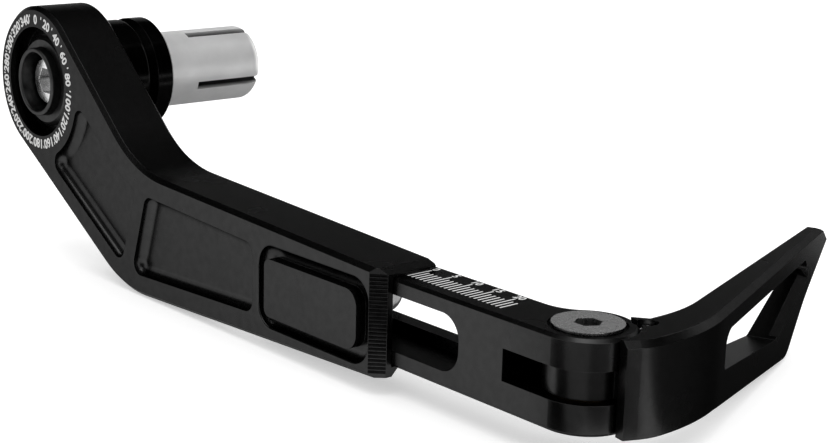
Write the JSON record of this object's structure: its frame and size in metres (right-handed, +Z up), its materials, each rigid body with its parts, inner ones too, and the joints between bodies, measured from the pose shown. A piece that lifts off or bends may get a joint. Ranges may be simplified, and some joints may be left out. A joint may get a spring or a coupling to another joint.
{
  "type": "brake lever guard",
  "caption": "Telescopic brake lever guard: cranked arm on an expanding bar plug, scaled slider and folding swept tip.",
  "frame": {"origin": "on the bar axis, in the plane where the flange meets the end of the handlebar", "axes": "+X forward along the slider, +Y inward along the handlebar, +Z up"},
  "size_m": [0.1741, 0.0952, 0.0517],
  "materials": {
    "satin_black": "black anodised, satin, fine milled",
    "gloss_black": "black anodised, turned and glossy",
    "raw_aluminium": "bare turned aluminium",
    "steel": "stainless, turned",
    "bronze": "sintered bronze"
  },
  "bodies": {
    "plug": {"bolt_cup": "gloss_black", "bolt_washer": "steel", "spacer_ring": "gloss_black", "end_flange": "gloss_black", "collet": "raw_aluminium"},
    "bolt": {"plug_bolt": "steel"},
    "expander": {"cone_nut": "raw_aluminium"},
    "arm": {"arm": "satin_black", "boss_bushing": "gloss_black", "clamp_screw_inner": "steel", "clamp_screw_outer": "steel", "clamp_washer_inner": "steel", "clamp_washer_outer": "steel"},
    "slider": {"slider": "satin_black", "pivot_screw": "steel", "pivot_nut": "steel", "thrust_washer_upper": "bronze", "thrust_washer_lower": "bronze"},
    "tip": {"tip": "satin_black", "pivot_bush": "bronze", "detent_spring": "steel"},
    "ball": {"detent_ball": "steel"}
  },
  "joints": [
    {"name": "arm_swivel", "type": "hinge", "parent": "plug", "child": "arm", "pos_m": [0, -0.0135, 0], "axis": [0, 1, 0], "continuous": true},
    {"name": "slider_travel", "type": "slide", "parent": "arm", "child": "slider", "axis": [1, 0, 0], "range_m": [-0.022, 0]},
    {"name": "tip_fold", "type": "hinge", "parent": "slider", "child": "tip", "pos_m": [0.14703, -0.01481, -0.02395], "axis": [0, 0, 1], "range_deg": [-90, 0]},
    {"name": "ball_travel", "type": "slide", "parent": "tip", "child": "ball", "axis": [-0.5, -0.866, 0], "range_m": [0, 0.0008]},
    {"name": "bolt_turn", "type": "hinge", "parent": "plug", "child": "bolt", "pos_m": [0, 0, 0], "axis": [0, 1, 0], "range_deg": [0, 1080]},
    {"name": "expander_travel", "type": "slide", "parent": "plug", "child": "expander", "axis": [0, 1, 0], "range_m": [0, 0.003]}
  ],
  "couplings": [
    {"joint": "expander_travel", "follows": "bolt_turn", "m_per_rad": 0.00015915}
  ]
}
